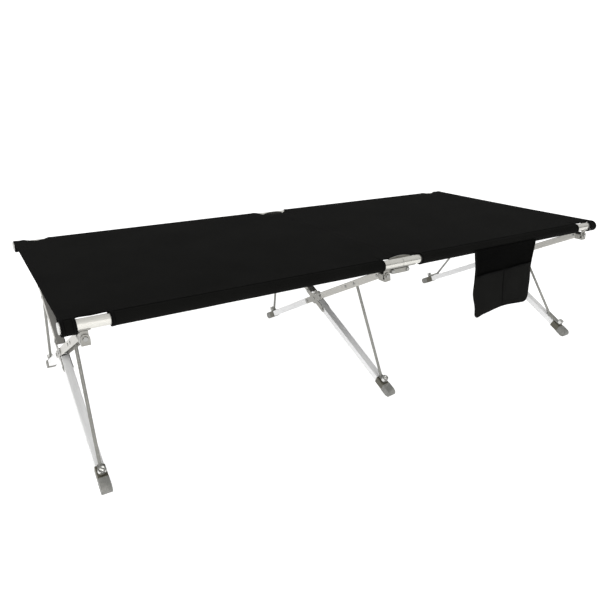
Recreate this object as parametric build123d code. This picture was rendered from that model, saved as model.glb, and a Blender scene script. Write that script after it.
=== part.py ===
"""Folding camp cot: two jointed aluminium rails, a sewn canvas bed, three crossed leg frames and a pocket."""

from build123d import *
import math
import os

os.makedirs("parts", exist_ok=True)

# Overall sizes, in millimetres. +X runs along the bed, +Y to the far rail, +Z up, floor at z = 0.
cot_length = 2030.0
rail_spacing = 854.0
rail_height = 476.4

# Rails: round tube with a shallow extrusion groove on the outer side.
rail_radius = 14.3
rail_wall = 1.6
rail_joint_gap = 1.0
groove_width = 1.6
groove_depth = 0.6
groove_drop = 3.0
plug_flange = 3.0
plug_depth = 15.0
plug_clearance = 0.1

# Canvas: a flat bed between the rails, a sleeve round each rail and a short loop at each rail's end.
sleeve_thickness = 3.4
cloth_clearance = 0.3
deck_thickness = 2.5
deck_below_sleeve_top = 0.9
loop_start = 5.0
loop_end = 39.0
bare_end = 117.0
centre_bare_gap = 4.0
cutout_depth = 6.0

# Pivots. Each leg frame swings about a pin under the rails, and two pins carry the centre links.
leg_pivot_below_rail = 21.1
link_pivot_below_rail = 10.1
link_left = 36.0
link_right = 24.0
end_leg_inset = 55.0
link_fitting_gap = 2.5
middle_foot_offset = 6.0
pin_radius = 4.0
pin_clearance = 0.05
tongue_thickness = 6.0
tongue_radius = 9.0
link_radius = 7.5
side_clearance = 0.3
link_thickness = 3.0
bolt_head_radius = 6.5
bolt_head_height = 3.5
nut_across = 13.0
nut_height = 5.0
saddle_thickness = 2.0
saddle_clearance = 0.15
saddle_half_width = 12.0
cheek_left_end = 38.0
cheek_right_end = 52.0
cheek_top = 18.0
cheek_arch = 160.0
end_saddle_half_length = 13.5
centre_saddle_near = 0.5
centre_saddle_past_legs = 15.0
centre_saddle_past_link = 28.0

# Leg frames: four arms meet between two plates at a hub, and a strut ties each foot to the arm above it.
hub_height = 233.0
arm_width = 24.0
arm_wall = 1.6
arm_corner = 2.0
arm_start_gap = 0.85
arm_top_above_pivot = 12.0
foot_spread = 420.0
shoe_wall = 1.85
shoe_length = 39.7
shoe_socket_floor = 12.0
socket_clearance = 0.15
shoe_flat = 0.6
collar_start = 40.0
collar_length = 36.0
collar_wall = 1.8
plate_thickness = 1.8
plate_radius = 11.0
plate_centre_radius = 22.0
upper_rivet = 45.0
lower_rivet = 62.0
stop_rivet = 245.0
strut_rivet = 300.0
right_strut_rivet = 182.0
rivet_radius = 2.5
rivet_head_radius = 5.0
rivet_head_height = 1.8
hub_spacer_radius = 7.0
strut_radius = 4.75
strut_eye_radius = 8.0
strut_eye_thickness = 6.4
strut_eye_reach = 16.0
right_strut_eye_reach = 62.0
knob_from_tip = 54.0
knob_radius = 11.0
knob_height = 12.0
knob_recess_radius = 7.0
knob_recess_depth = 4.0
knob_slot_width = 2.6
knob_stem_reach = 6.0
knob_stem_radius = 4.0
fitting_block_length = 21.7
fitting_ear = 3.2
fitting_half_width = 11.0
fitting_bottom_drop = 17.0
fitting_floor_gap = 0.5
tenon_clearance = 0.2
tenon_length = 18.0
fitting_rivet_back = 9.0
pin_depth = 12.0

# Pocket: a back cloth that hangs from the near rail's sleeve, with a shallow front pouch.
pocket_left = 331.0
pocket_right = 646.0
pocket_top_drop = 2.4
pocket_drop = 254.0
pocket_mouth_drop = 102.0
pocket_cloth = 1.5
pocket_gap = 6.0
pocket_seam = 3.0
pocket_corner = 25.0
pocket_standoff = 0.4
divider_width = 2.0

rail_y = rail_spacing / 2
half_length = cot_length / 2
sleeve_radius = rail_radius + cloth_clearance + sleeve_thickness
leg_pivot_drop = rail_radius + leg_pivot_below_rail
link_pivot_drop = rail_radius + link_pivot_below_rail
middle_leg_offset = link_left + link_radius + link_fitting_gap + fitting_half_width
centre_saddle_left_end = middle_leg_offset + centre_saddle_past_legs
centre_saddle_right_end = link_right + centre_saddle_past_link
centre_bare = centre_saddle_left_end + centre_bare_gap
shoe_width = arm_width + 2 * (socket_clearance + shoe_wall)
leg_pivot_z = rail_height - leg_pivot_drop
link_pivot_z = rail_height - link_pivot_drop
end_leg_x = half_length - end_leg_inset
tongue_half = tongue_thickness / 2
ear_start = tongue_half + side_clearance
middle_lean = math.degrees(math.atan2(middle_leg_offset - middle_foot_offset, leg_pivot_z))
leg_places = {"left": (-end_leg_x, 0.0), "middle": (-middle_leg_offset, middle_lean), "right": (end_leg_x, 0.0)}
pocket_inner_y = rail_y + sleeve_radius + pocket_standoff
pocket_outer_y = pocket_inner_y + 2 * pocket_cloth + pocket_gap
centring_shift = (pocket_outer_y - rail_y - sleeve_radius) / 2


def save(name, *solids):
    """Write one node, moved sideways so that the whole cot is centred on y = 0."""
    moved = [Pos(0, centring_shift, 0) * solid for solid in solids]
    export_step(moved[0] if len(moved) == 1 else Compound(moved), f"parts/{name}.step")


def near(shape):
    """The same piece on the near side of the cot."""
    return mirror(shape, about=Plane.XZ)


def both_sides(shape):
    return [near(shape), shape]


def along_x(x0, x1, radius, y, z):
    """A round bar along X."""
    return Pos((x0 + x1) / 2, y, z) * Rot(0, 90, 0) * Cylinder(radius, x1 - x0)


def along_y(y0, y1, radius, x, z):
    """A round bar along Y."""
    return Pos(x, (y0 + y1) / 2, z) * Rot(90, 0, 0) * Cylinder(radius, y1 - y0)


def block(x0, x1, y0, y1, z0, z1):
    return Pos((x0 + x1) / 2, (y0 + y1) / 2, (z0 + z1) / 2) * Box(x1 - x0, y1 - y0, z1 - z0)


# Rails and end plugs, for the far side of the left half.

def rail_half():
    x0 = -half_length + plug_flange
    x1 = -rail_joint_gap / 2
    bore = along_x(x0 - 1, x1 + 1, rail_radius - rail_wall, rail_y, rail_height)
    groove_z = rail_height - groove_drop
    groove = block(x0 - 1, x1 + 1, rail_y + rail_radius - groove_depth, rail_y + rail_radius + 1,
                   groove_z - groove_width / 2, groove_z + groove_width / 2)
    return along_x(x0, x1, rail_radius, rail_y, rail_height) - bore - groove


def end_plug():
    face = -half_length + plug_flange
    flange = along_x(-half_length, face, rail_radius, rail_y, rail_height)
    rim = flange.edges().filter_by(GeomType.CIRCLE).group_by(Axis.X)[0]
    spigot = along_x(face, face + plug_depth, rail_radius - rail_wall - plug_clearance, rail_y, rail_height)
    return fillet(rim, plug_flange / 2) + spigot


# Canvas.

deck_top = rail_height + sleeve_radius - deck_below_sleeve_top
deck_bottom = deck_top - deck_thickness
deck_rise = deck_bottom - rail_height
deck_half_width = rail_y - (sleeve_radius**2 - deck_rise**2) ** 0.5 - cloth_clearance


def sleeve_tube(start, end):
    """A cloth tube round the far rail of the left half, between two distances from the rail's end."""
    x0 = -half_length + start
    x1 = -half_length + end
    inside = along_x(x0 - 1, x1 + 1, rail_radius + cloth_clearance, rail_y, rail_height)
    return along_x(x0, x1, sleeve_radius, rail_y, rail_height) - inside


def sleeve_pair():
    """The short end loop and the long sleeve."""
    return [sleeve_tube(loop_start, loop_end), sleeve_tube(bare_end, half_length - centre_bare)]


def deck_half():
    """The flat bed of the left half, cut back beside each bare stretch of rail."""
    deck = block(-half_length + loop_start, -rail_joint_gap / 2, -deck_half_width, deck_half_width,
                 deck_bottom, deck_top)
    for start, end in ((loop_end, bare_end), (half_length - centre_bare, half_length)):
        for side in (-1, 1):
            edge = side * deck_half_width
            deck -= block(-half_length + start, -half_length + end, edge - cutout_depth, edge + cutout_depth,
                          deck_bottom - 1, deck_top + 1)
    return deck


# Brackets under the far rail: a saddle that hugs the tube, with tongues that hang from it.

def saddle(x0, x1):
    inner = rail_radius + saddle_clearance
    outer = along_x(x0, x1, inner + saddle_thickness, rail_y, rail_height)
    low = block(x0, x1, rail_y - saddle_half_width, rail_y + saddle_half_width,
                rail_height - inner - saddle_thickness - 1, rail_height - rail_radius / 2)
    return (outer & low) - along_x(x0 - 1, x1 + 1, inner, rail_y, rail_height)


def cheek(x0, x1):
    """The centre saddle's inner side plate, which rises past the rail with an arched top."""
    inner = rail_radius + saddle_clearance
    outer = inner + saddle_thickness
    hug = along_x(x0, x1, outer, rail_y, rail_height) & block(
        x0, x1, rail_y - outer - 1, rail_y, rail_height - outer, rail_height)
    middle = (cheek_right_end - cheek_left_end) / 2
    plate = block(x0, x1, rail_y - outer, rail_y - inner, rail_height - 1, rail_height + cheek_top)
    plate &= along_y(rail_y - outer - 1, rail_y, cheek_arch, middle, rail_height + cheek_top - cheek_arch)
    return hug + plate - along_x(x0 - 1, x1 + 1, inner, rail_y, rail_height)


tongue_top = rail_height - rail_radius - saddle_clearance - saddle_thickness / 2


def tongue(x, z, radius):
    """A flat tongue below the rail, before its pin hole is cut."""
    disc = along_y(rail_y - tongue_half, rail_y + tongue_half, radius, x, z)
    return disc + block(x - radius, x + radius, rail_y - tongue_half, rail_y + tongue_half, z, tongue_top)


def tongue_hole(x, z):
    return along_y(rail_y - rail_radius, rail_y + rail_radius, pin_radius + pin_clearance, x, z)


def hanger():
    x = -end_leg_x
    body = saddle(x - end_saddle_half_length, x + end_saddle_half_length)
    return body + tongue(x, leg_pivot_z, tongue_radius) - tongue_hole(x, leg_pivot_z)


def left_centre_bracket():
    """Carries both the middle leg frame and the left end of the centre link."""
    body = saddle(-centre_saddle_left_end, -centre_saddle_near) + cheek(-cheek_left_end, -centre_saddle_near)
    body += tongue(-middle_leg_offset, leg_pivot_z, tongue_radius) + tongue(-link_left, link_pivot_z, link_radius)
    body += block(-middle_leg_offset, -link_left, rail_y - tongue_half, rail_y + tongue_half,
                  link_pivot_z, tongue_top)
    return body - tongue_hole(-middle_leg_offset, leg_pivot_z) - tongue_hole(-link_left, link_pivot_z)


def right_centre_bracket():
    body = saddle(centre_saddle_near, centre_saddle_right_end) + cheek(centre_saddle_near, cheek_right_end)
    body += tongue(link_right, link_pivot_z, link_radius)
    return body - tongue_hole(link_right, link_pivot_z)


# Centre links, with their bolts and nuts.

link_xs = (-link_left, link_right)

def link_plate(side):
    """One side plate of the far centre link: side is 1 outside the tongue and -1 inside it."""
    y0 = rail_y + side * ear_start
    y1 = y0 + side * link_thickness
    low, high = min(y0, y1), max(y0, y1)
    plate = block(-link_left, link_right, low, high, link_pivot_z - link_radius, link_pivot_z + link_radius)
    for x in link_xs:
        plate += along_y(low, high, link_radius, x, link_pivot_z)
    for x in link_xs:
        plate -= tongue_hole(x, link_pivot_z)
    return plate


plate_outer = ear_start + link_thickness


def link_bolt(x):
    shank = along_y(rail_y - plate_outer - nut_height - 1, rail_y + plate_outer, pin_radius, x, link_pivot_z)
    head_start = rail_y + plate_outer
    head = along_y(head_start, head_start + bolt_head_height, bolt_head_radius, x, link_pivot_z)
    rim = head.edges().filter_by(GeomType.CIRCLE).group_by(Axis.Y)[-1]
    return shank + fillet(rim, bolt_head_height / 2)


def link_nut(x):
    y1 = rail_y - plate_outer
    face = Plane((x, y1, link_pivot_z), x_dir=(1, 0, 0), z_dir=(0, -1, 0)) * RegularPolygon(
        nut_across / 2, 6, major_radius=False)
    return extrude(face, nut_height) - tongue_hole(x, link_pivot_z)


# Leg frame, built upright in the plane x = 0 for the far side, then mirrored and placed.

class Arm:
    """A straight arm from the hub, with its own plane: x along the arm, y square to it, z along the cot."""

    def __init__(self, end_y, end_z):
        self.reach = math.hypot(end_y, end_z - hub_height)
        self.dir = (0, end_y / self.reach, (end_z - hub_height) / self.reach)
        self.plane = Plane((0, 0, hub_height), x_dir=self.dir, z_dir=(1, 0, 0))
        self.section = Plane((0, 0, hub_height), x_dir=(-1, 0, 0), z_dir=self.dir)

    def at(self, along, off=0.0):
        """The point at a distance along the arm and square to it."""
        return self.plane.from_local_coords((along, off, 0))

    def bar(self, start, end, sketch):
        """A sketch swept straight along the arm."""
        return extrude(self.section.offset(start) * sketch, end - start)

    def cross_bar(self, along, off, radius, half):
        """A round bar along X through the arm."""
        return self.plane * Pos(along, off, 0) * Cylinder(radius, 2 * half)

    def stud(self, along, off0, off1, radius):
        """A round bar square to the arm, in the leg frame's plane."""
        return self.plane * Pos(along, (off0 + off1) / 2, 0) * Rot(90, 0, 0) * Cylinder(radius, off1 - off0)


half_arm = arm_width / 2
inner_width = arm_width - 2 * arm_wall
fitting_outer = ear_start + fitting_ear
fitting_inner_y = rail_y - ear_start - fitting_block_length
collar_inner = arm_width + 2 * socket_clearance
collar_outer = collar_inner + 2 * collar_wall
eye_base = collar_outer / 2 + side_clearance
knob_base = eye_base + strut_eye_thickness + side_clearance
rivet_hole = rivet_radius + pin_clearance
upper = Arm(rail_y, leg_pivot_z + arm_top_above_pivot)
straight_lower = Arm(foot_spread, shoe_width / 2 - shoe_flat)
angle_between = math.acos(sum(a * b for a, b in zip(upper.dir, straight_lower.dir)))
arm_start = half_arm / math.tan(angle_between / 2) + arm_start_gap
fitting_rivet = (fitting_inner_y - fitting_rivet_back) / upper.dir[1]


def channel_section():
    """Inverted channel: web on top, open below."""
    return RectangleRounded(arm_width, arm_width, arm_corner) - Pos(0, -arm_wall) * Rectangle(
        inner_width, arm_width)


def box_section():
    return RectangleRounded(arm_width, arm_width, arm_corner) - Rectangle(inner_width, inner_width)


def strip_corners(end):
    """Corners of the strip from the hub to a point, as wide as the joint plate's lobes."""
    length = math.hypot(*end)
    off = (-end[1] / length * plate_radius, end[0] / length * plate_radius)
    return [off, (-off[0], -off[1]), (end[0] - off[0], end[1] - off[1]), (end[0] + off[0], end[1] + off[1])]


def rivet(arm, along, grip, spacer=0.0):
    """A rivet through the arm with a low domed head at each end."""
    body = arm.cross_bar(along, 0, rivet_radius, grip)
    if spacer:
        body += arm.cross_bar(along, 0, spacer, half_arm)
    for side in (-1, 1):
        head = Pos(0, 0, side * (grip + rivet_head_height / 2)) * Cylinder(rivet_head_radius, rivet_head_height)
        rim = head.edges().filter_by(GeomType.CIRCLE).group_by(Axis.Z)[0 if side < 0 else -1]
        body += arm.plane * Pos(along, 0, 0) * fillet(rim, rivet_head_height * 0.6)
    return body


def upper_arm(strut_at):
    arm = upper.bar(arm_start, upper.reach, channel_section())
    arm -= block(-arm_width, arm_width, fitting_inner_y, 2 * rail_y, 0, 2 * rail_height)
    for along in (upper_rivet, stop_rivet, strut_at, fitting_rivet):
        arm -= upper.cross_bar(along, 0, rivet_hole, arm_width)
    return arm


def top_fitting():
    """Fork at the top of the upper arm that takes the hanger's tongue, with a tenon inside the arm."""
    outer_y = rail_y + fitting_outer
    body = along_y(fitting_inner_y, outer_y, fitting_half_width, 0, leg_pivot_z)
    body += block(-fitting_half_width, fitting_half_width, fitting_inner_y, outer_y,
                  leg_pivot_z - fitting_bottom_drop, leg_pivot_z)
    floor = leg_pivot_z - tongue_radius - fitting_floor_gap
    body -= block(-arm_width, arm_width, rail_y - ear_start, rail_y + ear_start, floor, rail_height)
    body -= along_y(rail_y - ear_start - pin_depth, rail_y + rail_radius, pin_radius + pin_clearance,
                    0, leg_pivot_z)
    size = inner_width - 2 * tenon_clearance
    reach = fitting_inner_y / upper.dir[1]
    tenon = upper.bar(reach - tenon_length, reach + arm_width, Rectangle(size, size))
    tenon &= block(-arm_width, arm_width, 0, fitting_inner_y, 0, rail_height)
    tenon -= upper.cross_bar(fitting_rivet, 0, rivet_hole, arm_width)
    return body + tenon


def pivot_pin():
    outer_y = rail_y + fitting_outer
    head = along_y(outer_y, outer_y + bolt_head_height, bolt_head_radius, 0, leg_pivot_z)
    rim = head.edges().filter_by(GeomType.CIRCLE).group_by(Axis.Y)[-1]
    start = rail_y - ear_start - pin_depth + side_clearance
    return along_y(start, outer_y, pin_radius, 0, leg_pivot_z) + fillet(rim, bolt_head_height / 2)


class LegFrame:
    """One crossed leg frame at x. Lean, in degrees, carries its feet towards +X about the top pivots."""

    def __init__(self, name, x, lean, strut_at, eye_reach):
        self.name = name
        self.strut_at = strut_at
        self.eye_reach = eye_reach
        self.placed = Pos(x, 0, leg_pivot_z) * Rot(0, -lean, 0) * Pos(0, 0, -leg_pivot_z)
        foot_height = shoe_width / 2 - shoe_flat
        foot_drop = (leg_pivot_z - foot_height) / math.cos(math.radians(lean))
        self.lower = Arm(foot_spread, leg_pivot_z - foot_drop)
        self.tip = self.lower.reach + shoe_width / 2
        self.knob_at = self.tip - knob_from_tip

    def stem_hole(self):
        return self.lower.stud(self.knob_at, 0, 2 * knob_base, knob_stem_radius + pin_clearance)

    def lower_arm(self):
        arm = self.lower.bar(arm_start, self.tip - shoe_socket_floor - side_clearance, box_section())
        return arm - self.lower.cross_bar(lower_rivet, 0, rivet_hole, arm_width) - self.stem_hole()

    def joint_plate(self):
        """The plate on the +X side of the hub; the other one is its mirror image."""
        face = Plane((half_arm, 0, hub_height), x_dir=(0, 1, 0), z_dir=(1, 0, 0))
        outline = Circle(plate_centre_radius)
        lobes = ((upper, upper_rivet), (self.lower, lower_rivet))
        for arm, length in lobes:
            for side in (-1, 1):
                end = (side * arm.dir[1] * length, arm.dir[2] * length)
                outline += Pos(*end) * Circle(plate_radius)
                outline += make_face(Polyline(*strip_corners(end), close=True))
        plate = extrude(face * outline, plate_thickness) - upper.cross_bar(0, 0, rivet_hole, arm_width)
        for arm, length in lobes:
            hole = arm.cross_bar(length, 0, rivet_hole, arm_width)
            plate = plate - hole - near(hole)
        return plate

    def rivets(self):
        through_plates = half_arm + plate_thickness
        centre = rivet(upper, 0, through_plates, hub_spacer_radius)
        sides = [rivet(upper, upper_rivet, through_plates), rivet(self.lower, lower_rivet, through_plates)]
        sides += [rivet(upper, along, half_arm) for along in (stop_rivet, self.strut_at, fitting_rivet)]
        return [centre] + [piece for side in sides for piece in both_sides(side)]

    def shoe(self):
        """Plastic cap over the foot of the lower arm, with a rounded sole."""
        body = self.lower.bar(self.lower.reach, self.tip - shoe_length, Rectangle(shoe_width, shoe_width))
        body += self.lower.cross_bar(self.lower.reach, 0, shoe_width / 2, shoe_width / 2)
        return body - self.lower.bar(self.tip - shoe_socket_floor, self.tip - shoe_length - 1,
                                     Rectangle(collar_inner, collar_inner))

    def collar(self):
        start = self.tip - collar_start
        section = RectangleRounded(collar_outer, collar_outer, arm_corner + 1)
        section -= Rectangle(collar_inner, collar_inner)
        return self.lower.bar(start, start - collar_length, section) - self.stem_hole()

    def knob(self):
        """Round clamping knob with a slotted recess in its top."""
        top = knob_base + knob_height
        head = self.lower.stud(self.knob_at, knob_base, top, knob_radius)
        head -= self.lower.stud(self.knob_at, top - knob_recess_depth, top + 1, knob_recess_radius)
        bar = Box(knob_slot_width, knob_recess_depth, 2 * knob_recess_radius + 1)
        head += self.lower.plane * Pos(self.knob_at, top - knob_recess_depth / 2, 0) * Rot(0, 45, 0) * bar
        return head + self.lower.stud(self.knob_at, knob_stem_reach, knob_base, knob_stem_radius)

    def strut(self):
        """A round rod from an eye under the knob up into the channel of the arm above."""
        eye_top = eye_base + strut_eye_thickness
        foot_at = self.knob_at - self.eye_reach
        foot = self.lower.at(foot_at, (eye_base + eye_top) / 2)
        head = upper.at(self.strut_at)
        run = head - foot
        rod = extrude(Plane(foot, x_dir=(1, 0, 0), z_dir=run) * Circle(strut_radius), run.length)
        rod += Plane(head, x_dir=(1, 0, 0), z_dir=run) * Sphere(strut_radius)
        rod -= self.lower.stud(foot_at, eye_base - 3 * strut_radius, eye_base, 3 * strut_radius)
        eye = self.lower.stud(self.knob_at, eye_base, eye_top, strut_eye_radius)
        eye += self.lower.stud(foot_at, eye_base, eye_top, strut_eye_radius)
        eye += self.lower.plane * Pos((self.knob_at + foot_at) / 2, (eye_base + eye_top) / 2, 0) * Box(
            self.eye_reach, strut_eye_thickness, 2 * strut_eye_radius)
        return rod + eye - upper.cross_bar(self.strut_at, 0, rivet_hole, arm_width) - self.stem_hole()

    def write(self):
        """Write every piece, and cut the soles flat at the floor."""
        for part_name, arm in (("upper_arm", upper_arm(self.strut_at)), ("lower_arm", self.lower_arm())):
            save(f"{part_name}_far_{self.name}", self.placed * arm)
            save(f"{part_name}_near_{self.name}", self.placed * near(arm))
        plate = self.joint_plate()
        groups = {
            "joint_plates": [plate, mirror(plate, about=Plane.YZ)],
            "leg_rivets": self.rivets(),
            "foot_collars": both_sides(self.collar()),
            "clamp_knobs": both_sides(self.knob()),
            "leg_struts": both_sides(self.strut()),
            "top_fittings": both_sides(top_fitting()),
            "pivot_pins": both_sides(pivot_pin()),
        }
        for group, solids in groups.items():
            save(f"{group}_{self.name}", *[self.placed * solid for solid in solids])
        below_floor = block(-cot_length, cot_length, -rail_spacing, rail_spacing, -shoe_width, 0)
        soles = [self.placed * sole - below_floor for sole in both_sides(self.shoe())]
        save(f"foot_shoes_{self.name}", *soles)


# Pocket, on the near side: y runs outwards from pocket_inner_y as depth.

pocket_top = rail_height - pocket_top_drop
pocket_bottom = pocket_top - pocket_drop
pocket_mouth = pocket_top - pocket_mouth_drop
pocket_depth = 2 * pocket_cloth + pocket_gap


def pocket_slab(inset, top, depth0, depth1):
    """A slab with the pocket's outline, drawn in by inset at its sides and bottom, between two depths."""
    x0, x1 = pocket_left + inset, pocket_right - inset
    bottom = pocket_bottom + inset
    corner = pocket_corner - inset
    slab = block(x0, x1, -pocket_inner_y - depth1, -pocket_inner_y - depth0, bottom, top)
    return fillet(slab.edges().filter_by(Axis.Y).group_by(Axis.Z)[0], corner)


def pocket_front():
    inside_end = pocket_depth - pocket_cloth
    tray = pocket_slab(0, pocket_mouth, pocket_cloth, pocket_depth)
    tray -= pocket_slab(pocket_seam, pocket_mouth + 1, pocket_cloth - 1, inside_end)
    middle = (pocket_left + pocket_right) / 2
    return tray + block(middle - divider_width / 2, middle + divider_width / 2, -pocket_inner_y - inside_end,
                        -pocket_inner_y - pocket_cloth, pocket_bottom + pocket_seam, pocket_mouth)


def pocket_binding():
    tape = pocket_slab(-pocket_seam, pocket_mouth, 0, pocket_depth)
    return tape - pocket_slab(0, pocket_mouth + 1, -1, pocket_depth + 1)


def flipped(shape):
    """The same piece on the right half of the cot."""
    return mirror(shape, about=Plane.YZ)


rail = rail_half()
save("rail_far_left", rail)
save("rail_near_left", near(rail))
save("rail_far_right", flipped(rail))
save("rail_near_right", near(flipped(rail)))

plug = end_plug()
save("end_plugs_left", *both_sides(plug))
save("end_plugs_right", *both_sides(flipped(plug)))

deck = deck_half()
save("canvas_deck_left", deck)
save("canvas_deck_right", flipped(deck))

sleeves = sleeve_pair()
save("sleeve_far_left", *sleeves)
save("sleeve_near_left", *[near(tube) for tube in sleeves])
save("sleeve_far_right", *[flipped(tube) for tube in sleeves])
save("sleeve_near_right", *[near(flipped(tube)) for tube in sleeves])

hanging = hanger()
save("leg_hangers_left", *both_sides(hanging))
save("leg_hangers_right", *both_sides(flipped(hanging)))

save("centre_brackets_left", *both_sides(left_centre_bracket()))
save("centre_brackets_right", *both_sides(right_centre_bracket()))

link_plates = [link_plate(-1), link_plate(1)]
save("centre_link_far", *link_plates)
save("centre_link_near", *[near(plate) for plate in link_plates])
save("link_bolts", *[piece for x in link_xs for piece in both_sides(link_bolt(x))])
save("link_nuts", *[piece for x in link_xs for piece in both_sides(link_nut(x))])

for leg_name, (leg_x, leg_lean) in leg_places.items():
    brace = (right_strut_rivet, right_strut_eye_reach) if leg_name == "right" else (strut_rivet, strut_eye_reach)
    LegFrame(leg_name, leg_x, leg_lean, *brace).write()

save("pocket_back", pocket_slab(0, pocket_top, 0, pocket_cloth))
save("pocket_front", pocket_front())
save("pocket_binding", pocket_binding())

print("centring shift", centring_shift, "middle lean", middle_lean)
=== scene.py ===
import bmesh
import bpy
import math
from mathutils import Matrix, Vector, noise


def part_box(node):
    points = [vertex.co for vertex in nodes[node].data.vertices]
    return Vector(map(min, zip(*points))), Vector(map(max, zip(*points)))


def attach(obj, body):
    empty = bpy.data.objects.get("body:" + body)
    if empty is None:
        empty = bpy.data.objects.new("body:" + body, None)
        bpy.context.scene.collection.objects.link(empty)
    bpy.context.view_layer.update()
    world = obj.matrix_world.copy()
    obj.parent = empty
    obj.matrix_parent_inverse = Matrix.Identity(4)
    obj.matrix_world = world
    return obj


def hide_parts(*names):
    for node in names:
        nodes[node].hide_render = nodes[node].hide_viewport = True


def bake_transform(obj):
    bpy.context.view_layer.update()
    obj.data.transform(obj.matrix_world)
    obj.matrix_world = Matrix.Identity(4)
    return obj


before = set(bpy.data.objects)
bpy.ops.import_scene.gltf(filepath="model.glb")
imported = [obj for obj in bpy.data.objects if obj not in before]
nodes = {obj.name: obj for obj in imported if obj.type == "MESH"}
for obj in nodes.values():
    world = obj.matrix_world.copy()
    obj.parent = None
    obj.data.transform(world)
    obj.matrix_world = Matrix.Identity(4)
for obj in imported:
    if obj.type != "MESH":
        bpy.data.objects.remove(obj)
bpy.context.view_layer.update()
print("frame loaded:", len(nodes), "nodes")


def boxCentre(node):
    low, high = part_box(node)
    return (low + high) / 2


def smooth(t):
    t = min(1.0, max(0.0, t))
    return t * t * (3 - 2 * t)


def ramp(table, t):
    # smooth interpolation in a list of (place, value)
    for (a, va), (b, vb) in zip(table, table[1:]):
        if t <= b:
            return va + (vb - va) * smooth((t - a) / (b - a))
    return table[-1][1]


# studio: white floor and surroundings, with a dim band near the horizon that the metal picks up
studio = {
    "cameraAt": (-1.1624, -1.6978, 0.9731), "looking": (0.4939, 0.7981, -0.3450),
    "lens": 33.66, "sensor": 36, "nearest": 0.05, "farthest": 60,
    "floorSize": 9.0, "floorDrop": 0.0004, "floorTint": (0.42, 0.42, 0.42), "floorGlow": 0.93,
    "fibreTint": (0.8, 0.8, 0.8), "fibreShare": 0.04, "fibreScale": 60.0, "backdrop": 1.2,
    "skyStops": ((0.0, 0.55), (0.485, 0.5), (0.50, 0.16), (0.545, 0.18), (0.60, 0.55), (0.8, 0.78), (1.0, 0.8)),
    "lampsFace": (0, 0, 0.3),
    "keyAt": (-2.5, -3.0, 2.9), "keySize": 2.6, "keyPower": 66,
    "fillAt": (-0.2, -3.6, 1.0), "fillSize": 1.8, "fillPower": 12,
    "kickAt": (-2.9, 2.9, 0.8), "kickSize": 1.8, "kickPower": 14,
}


def put(tree, kind, inputs=None, **settings):
    # one shader node, with its sockets linked to other sockets or set to values
    node = tree.nodes.new(kind)
    for key, value in settings.items():
        setattr(node, key, value)
    for socket, value in (inputs or {}).items():
        if isinstance(value, bpy.types.NodeSocket):
            tree.links.new(value, node.inputs[socket])
        else:
            node.inputs[socket].default_value = value
    return node


def sums(tree, operation, a, b=0.0, clamp=False):
    return put(tree, "ShaderNodeMath", {0: a, 1: b}, operation=operation, use_clamp=clamp).outputs[0]


def vectorSum(tree, operation, a, b=(0, 0, 0), scale=1.0):
    node = put(tree, "ShaderNodeVectorMath", {0: a, 1: b}, operation=operation)
    if isinstance(scale, bpy.types.NodeSocket):
        tree.links.new(scale, node.inputs["Scale"])
    elif operation == "SCALE":
        node.inputs["Scale"].default_value = scale
    return node.outputs["Value"] if operation in ("DOT_PRODUCT", "LENGTH") else node.outputs[0]


def mixColours(tree, share, a, b):
    node = put(tree, "ShaderNodeMix", data_type="RGBA")
    for socket, value in (("Factor_Float", share), ("A_Color", a), ("B_Color", b)):
        target = next(s for s in node.inputs if s.identifier == socket)
        if isinstance(value, bpy.types.NodeSocket):
            tree.links.new(value, target)
        else:
            target.default_value = value if socket == "Factor_Float" else (*value[:3], 1)
    return next(s for s in node.outputs if s.identifier == "Result_Color")


def spread(tree, value, low, high, newLow=0.0, newHigh=1.0):
    return put(tree, "ShaderNodeMapRange", {"Value": value, "From Min": low, "From Max": high,
                                            "To Min": newLow, "To Max": newHigh}, clamp=True).outputs["Result"]


def noiseAt(tree, at, scale, detail=3.0, rough=0.5):
    return put(tree, "ShaderNodeTexNoise", {"Vector": at, "Scale": scale, "Detail": detail,
                                            "Roughness": rough}).outputs["Fac"]


def group(name, inputs, outputs, build):
    # a shared shader node group with named sockets
    tree = bpy.data.node_groups.new(name, "ShaderNodeTree")
    for label, kind, value in inputs:
        socket = tree.interface.new_socket(name=label, in_out="INPUT", socket_type=kind)
        socket.default_value = value
    for label, kind in outputs:
        tree.interface.new_socket(name=label, in_out="OUTPUT", socket_type=kind)
    given = tree.nodes.new("NodeGroupInput").outputs
    results = build(tree, given)
    put(tree, "NodeGroupOutput", results)
    return tree


def place(tree, effect, **values):
    # a shared group in a material, with this material's own values
    node = tree.nodes.new("ShaderNodeGroup")
    node.node_tree = effect
    for label, value in values.items():
        socket = node.inputs[label]
        if isinstance(value, bpy.types.NodeSocket):
            tree.links.new(value, socket)
        else:
            socket.default_value = (*value, 1) if socket.type == "RGBA" else value
    return node.outputs


def here(tree):
    return put(tree, "ShaderNodeTexCoord").outputs["Object"]


numberSocket, vectorSocket, colourSocket = "NodeSocketFloat", "NodeSocketVector", "NodeSocketColor"


edgeLook = {"noiseScale": 140.0, "turnBand": (0.015, 0.16), "brokenBand": (0.3, 0.65, 0.35, 1.0)}


def buildEdgeWearAndHighlight(tree, given):
    # worn bare metal and a painted highlight where the faces turn: a bright line broken up by noise, and the rounded
    # normal that goes with it
    rounded = put(tree, "ShaderNodeBevel", {"Radius": given["Radius"]}, samples=4).outputs["Normal"]
    flat = put(tree, "ShaderNodeNewGeometry").outputs["Normal"]
    turn = sums(tree, "SUBTRACT", 1.0, vectorSum(tree, "DOT_PRODUCT", rounded, flat))
    broken = spread(tree, noiseAt(tree, here(tree), edgeLook["noiseScale"], 4.0), *edgeLook["brokenBand"])
    edge = spread(tree, turn, *edgeLook["turnBand"])
    return {"Edge": sums(tree, "MULTIPLY", edge, broken), "Normal": rounded}


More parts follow.
